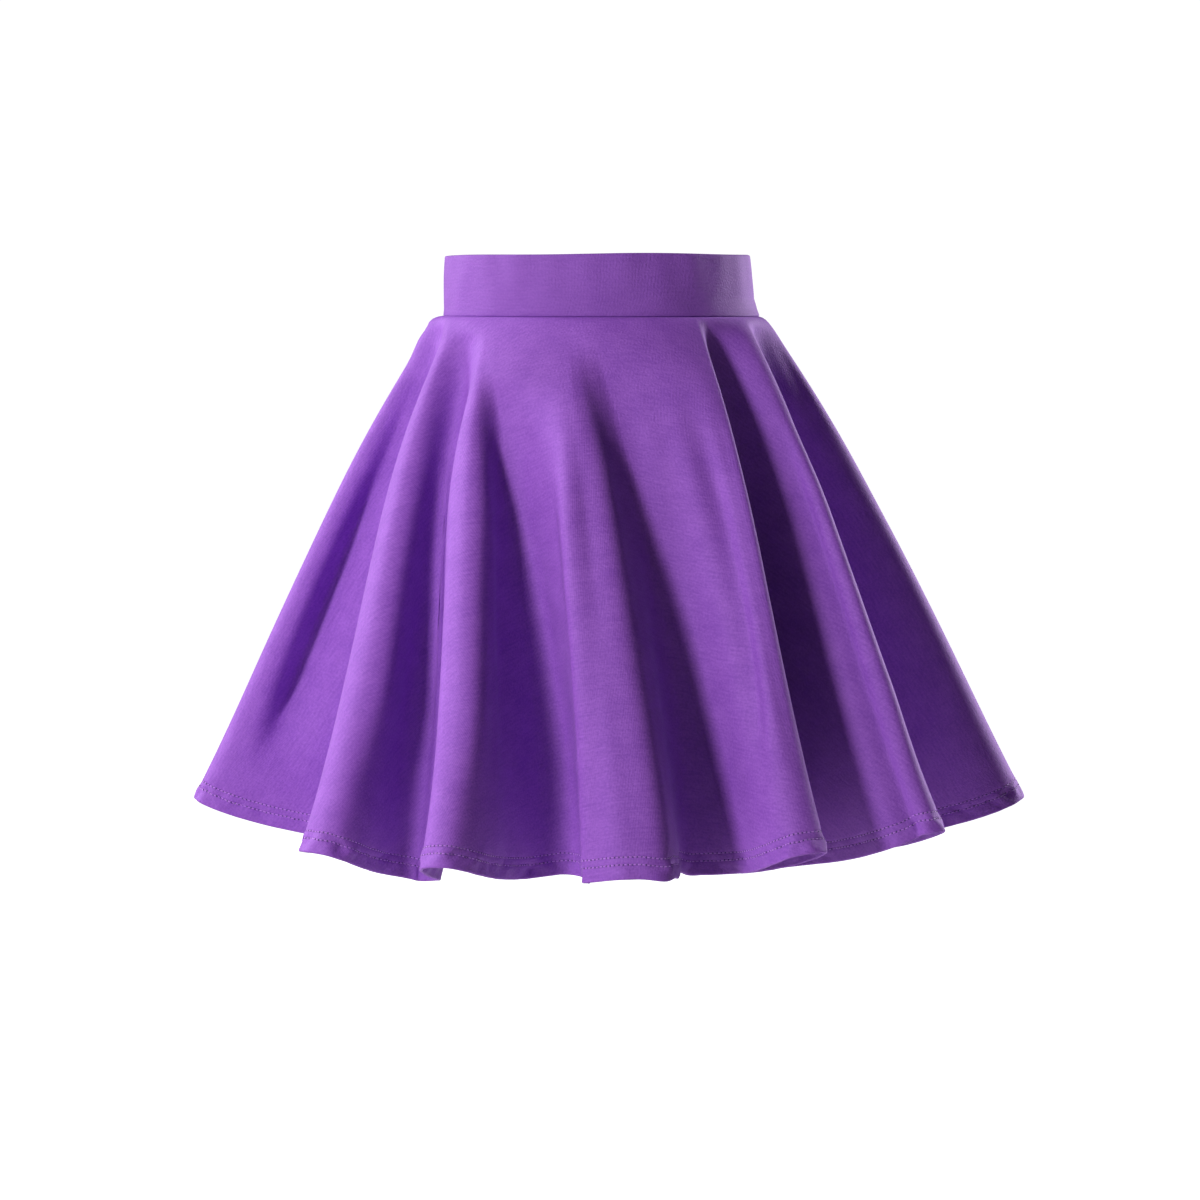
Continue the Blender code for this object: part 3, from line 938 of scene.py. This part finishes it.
def sewn(name, tree, lines, settings):
    # the tree's result as a plain mesh; each line is a list of points and the cloth's normals there
    points = np.concatenate([line[0] for line in lines])
    outwards = np.concatenate([line[1] for line in lines])
    edges, start = [], 0
    for line in lines:
        n = len(line[0])
        edges += [(start + i, start + i + 1) for i in range(n - 1)]
        start += n
    guide = bpy.data.meshes.new(name + "Guide")
    guide.from_pydata(points.tolist(), edges, [])
    attribute = guide.attributes.new("outward", "FLOAT_VECTOR", "POINT")
    attribute.data.foreach_set("vector", outwards.astype(np.float32).ravel())
    holder = bpy.data.objects.new(name + "Guide", guide)
    bpy.context.scene.collection.objects.link(holder)
    maker = holder.modifiers.new("stitches", "NODES")
    maker.node_group = tree
    for item in tree.interface.items_tree:
        if item.in_out == "INPUT" and item.name in settings:
            maker[item.identifier] = settings[item.name]
    seen = holder.evaluated_get(bpy.context.evaluated_depsgraph_get())
    mesh = bpy.data.meshes.new_from_object(seen)
    mesh.name = name
    bpy.data.objects.remove(holder)
    for polygon in mesh.polygons:
        polygon.use_smooth = True
    piece = bpy.data.objects.new(name, mesh)
    bpy.context.scene.collection.objects.link(piece)
    return piece


stitches = {
    "Pitch": 0.0032,
    "Stitch Length": 0.0020,
    "Thread Radius": 0.00042,
    "Rise": 0.00020,
    "Turn": 0.0,
    "Seed": 3,
    "Thread": sewingThread,
    "Hole": paintedNeedleHoleShade,
    "Hole Radius": 0.00075,
}
looper = {"Thread Radius": 0.00016, "Thread": sewingThread}
hemStitches, looperThread = stitchTree(), cordTree()
topRows = len(topOuter)
for half, (first, last) in halves.items():
    lines = []
    normals = columnsOf(outward, first + 1, last - 1)
    for row in hem["rows"]:
        at = int(np.argmin(np.abs(up - row)))
        path = columnsOf(outerSkin, first + 1, last - 1)[topRows + at] + normals[at] * needlework["lift"]
        lines.append((path, normals[at]))
    pieces["hemStitches_" + half] = sewn("hemStitches_" + half, hemStitches, lines, stitches)

    # the looper's zigzag between the two rows, on the inside over the raw edge
    low, high = (int(np.argmin(np.abs(up - row))) for row in hem["rows"])
    spots = np.arange(first + 1, last) % len(walls)
    inside = far - hem["looperDepth"]
    lowLine, highLine = ((surface[row] + outward[row] * inside)[spots] for row in (low, high))
    run = lengthsAlong(lowLine)
    turns = np.arange(hem["looperEnd"], run[-1] - hem["looperEnd"], hem["looperStep"])
    zigzag = np.empty((len(turns), 3))
    for axis in range(3):
        zigzag[0::2, axis] = np.interp(turns[0::2], run, lowLine[:, axis])
        zigzag[1::2, axis] = np.interp(turns[1::2], run, highLine[:, axis])
    lines = [(zigzag, np.zeros_like(zigzag))]
    pieces["hemLooper_" + half] = sewn("hemLooper_" + half, looperThread, lines, looper)
print("hem stitches sewn")


for half in ("front", "back"):
    for kind in ("skirt_", "hem_", "waistband_"):
        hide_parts(kind + half)
for piece in pieces.values():
    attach(piece, "root")


studio = {
    "floor": -1.02,
    "aim": (0.0, 0.0, -0.2),
    "away": 2.4,
    "lights": (   # name, azimuth from the front, elevation, size, power, colour
        ("rimLeft", -112, 25, 0.8, 53, (1.0, 1.03, 0.90)),
        ("keyLeft", -43, 25, 0.45, 49, (1.0, 1.0, 0.98)),
        ("softLeft", -64, 30, 0.8, 10, (1.0, 1.03, 0.90)),
        ("rimRight", 121, 14, 0.8, 75, (1.0, 1.0, 0.96)),
    ),
    "ambient": 0.027,
    "seenRoom": 1.05,
    "floorRadius": 40.0,
    "floorColour": (0.85, 0.85, 0.85, 1.0),
    "floorRough": 0.9,
    "white": (1.0, 1.0, 1.0, 1.0),
}


def seenOnly(tree, strength, hidden, seen):
    # one strength for what the camera sees, another for the light it gives
    path = tree.nodes.new("ShaderNodeLightPath")
    mix = tree.nodes.new("ShaderNodeMapRange")
    mix.inputs["To Min"].default_value = hidden
    mix.inputs["To Max"].default_value = seen
    link(tree, path.outputs["Is Camera Ray"], mix.inputs["Value"])
    link(tree, mix.outputs[0], strength)


def areaLight(name, azimuth, elevation, size, power, colour):
    data = bpy.data.lights.new(name, "AREA")
    data.shape = "DISK"
    data.size = size
    data.energy = power
    data.color = colour
    lamp = bpy.data.objects.new(name, data)
    turn, lift = np.radians(azimuth), np.radians(elevation)
    aim = Vector(studio["aim"])
    direction = Vector((np.sin(turn) * np.cos(lift), -np.cos(turn) * np.cos(lift), np.sin(lift)))
    lamp.location = aim + studio["away"] * direction
    lamp.rotation_euler = (aim - lamp.location).to_track_quat("-Z", "Y").to_euler()
    bpy.context.scene.collection.objects.link(lamp)


bpy.ops.mesh.primitive_circle_add(vertices=96, radius=studio["floorRadius"], fill_type="NGON",
                                  location=(0, 0, studio["floor"]))
floor = bpy.context.object
floor.name = "studioFloor"
floorMaterial = bpy.data.materials.new("paleFloor")
floorMaterial.use_nodes = True
floorShader = floorMaterial.node_tree.nodes["Principled BSDF"]
floorShader.inputs["Base Color"].default_value = studio["floorColour"]
floorShader.inputs["Roughness"].default_value = studio["floorRough"]
floorShader.inputs["Emission Color"].default_value = studio["white"]
seenOnly(floorMaterial.node_tree, floorShader.inputs["Emission Strength"], hidden=0.0, seen=1.0)
floor.data.materials.append(floorMaterial)
for light in studio["lights"]:
    areaLight(*light)

world = bpy.data.worlds.new("paleRoom")
world.use_nodes = True
backdrop = world.node_tree.nodes["Background"]
backdrop.inputs["Color"].default_value = studio["white"]
seenOnly(world.node_tree, backdrop.inputs["Strength"], studio["ambient"], studio["seenRoom"])
bpy.context.scene.world = world
bpy.context.scene.view_settings.view_transform = "Standard"

view = {"place": (0.0, -2.255, -0.0035), "tilt": 6.12, "lens": 86.7, "sensor": 36.0}
cameraData = bpy.data.cameras.new("camera")
cameraData.lens = view["lens"]
cameraData.sensor_width = view["sensor"]
camera = bpy.data.objects.new("camera", cameraData)
camera.location = view["place"]
camera.rotation_euler = (np.radians(90.0 - view["tilt"]), 0.0, 0.0)
bpy.context.scene.collection.objects.link(camera)
bpy.context.scene.camera = camera
